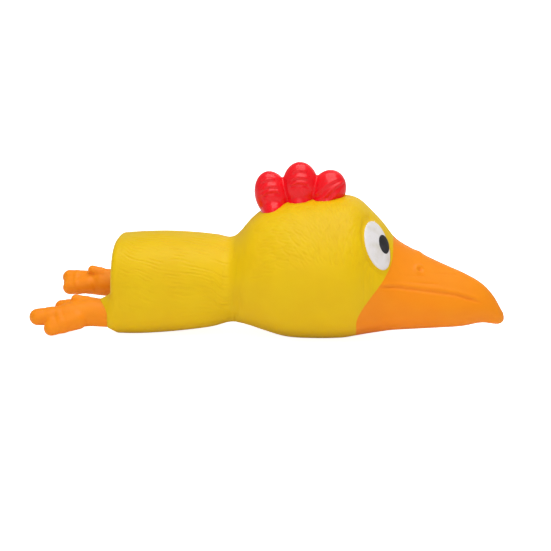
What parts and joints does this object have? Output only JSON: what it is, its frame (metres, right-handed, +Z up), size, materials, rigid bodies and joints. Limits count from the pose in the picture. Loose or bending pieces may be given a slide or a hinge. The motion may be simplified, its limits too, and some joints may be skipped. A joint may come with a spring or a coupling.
{
  "type": "rubber chicken",
  "caption": "Soft latex squeaky chicken lying on its belly: large head with a long beak, lobed comb, painted eyes, short torso and two trailing feet.",
  "frame": {"origin": "in the flat patch under the head that the toy rests on, at table height", "axes": "+X along the toy towards the beak's tip, +Y to the chicken's left, +Z up"},
  "size_m": [0.1868, 0.055, 0.0701],
  "materials": {
    "yellow_latex": "satin moulded latex, pigmented yellow",
    "orange_latex": "satin orange latex paint over moulded latex",
    "red_latex": "glossy red latex paint",
    "eye_white_paint": "satin white paint",
    "pupil_paint": "satin black paint",
    "fibre_filling": "loose polyester fibre",
    "squeaker_plastic": "moulded polyethylene",
    "reed_brass": "rolled brass strip"
  },
  "bodies": {
    "torso": {"torso_skin": "yellow_latex", "torso_stuffing": "fibre_filling", "squeaker_housing": "squeaker_plastic", "squeaker_cap": "squeaker_plastic", "reed_block": "squeaker_plastic", "reed_clamp": "squeaker_plastic"},
    "back": {"back_panel": "yellow_latex"},
    "neck": {"neck_sleeve": "yellow_latex"},
    "head": {"head_skin": "yellow_latex", "beak_skin": "orange_latex", "eye_white_right": "eye_white_paint", "eye_white_left": "eye_white_paint", "pupil_right": "pupil_paint", "pupil_left": "pupil_paint", "head_stuffing": "fibre_filling"},
    "comb": {"comb": "red_latex"},
    "right_foot": {"foot_right": "orange_latex"},
    "left_foot": {"foot_left": "orange_latex"},
    "reed": {"reed": "reed_brass"}
  },
  "joints": [
    {"name": "neck_turn", "type": "hinge", "parent": "torso", "child": "neck", "pos_m": [-0.027, 0, 0.022], "axis": [0, 0, 1], "range_deg": [-20, 20], "stiffness_Nm_per_rad": 0.4, "deforming": ["neck_sleeve"]},
    {"name": "neck_nod", "type": "hinge", "parent": "neck", "child": "head", "pos_m": [-0.027, 0, 0.022], "axis": [0, 1, 0], "range_deg": [-25, 20], "stiffness_Nm_per_rad": 0.4, "deforming": ["neck_sleeve"]},
    {"name": "squeeze", "type": "slide", "parent": "torso", "child": "back", "axis": [0, 0, -1], "range_m": [0, 0.009], "stiffness_N_per_m": 250, "deforming": ["torso_stuffing"]},
    {"name": "right_ankle", "type": "hinge", "parent": "torso", "child": "right_foot", "pos_m": [-0.0823, -0.0135, 0.0094], "axis": [0, 1, 0], "range_deg": [-25, 25], "stiffness_Nm_per_rad": 0.03},
    {"name": "left_ankle", "type": "hinge", "parent": "torso", "child": "left_foot", "pos_m": [-0.0823, 0.0135, 0.0156], "axis": [0, 1, 0], "range_deg": [-25, 25], "stiffness_Nm_per_rad": 0.03},
    {"name": "comb_flex", "type": "hinge", "parent": "head", "child": "comb", "pos_m": [-0.0015, 0, 0.0549], "axis": [0.98, 0, 0.199], "range_deg": [-12, 12], "stiffness_Nm_per_rad": 0.02},
    {"name": "reed_vibration", "type": "hinge", "parent": "torso", "child": "reed", "pos_m": [-0.06897, 0, 0.0233], "axis": [0, 1, 0], "range_deg": [-3, 3], "stiffness_Nm_per_rad": 0.00001}
  ]
}
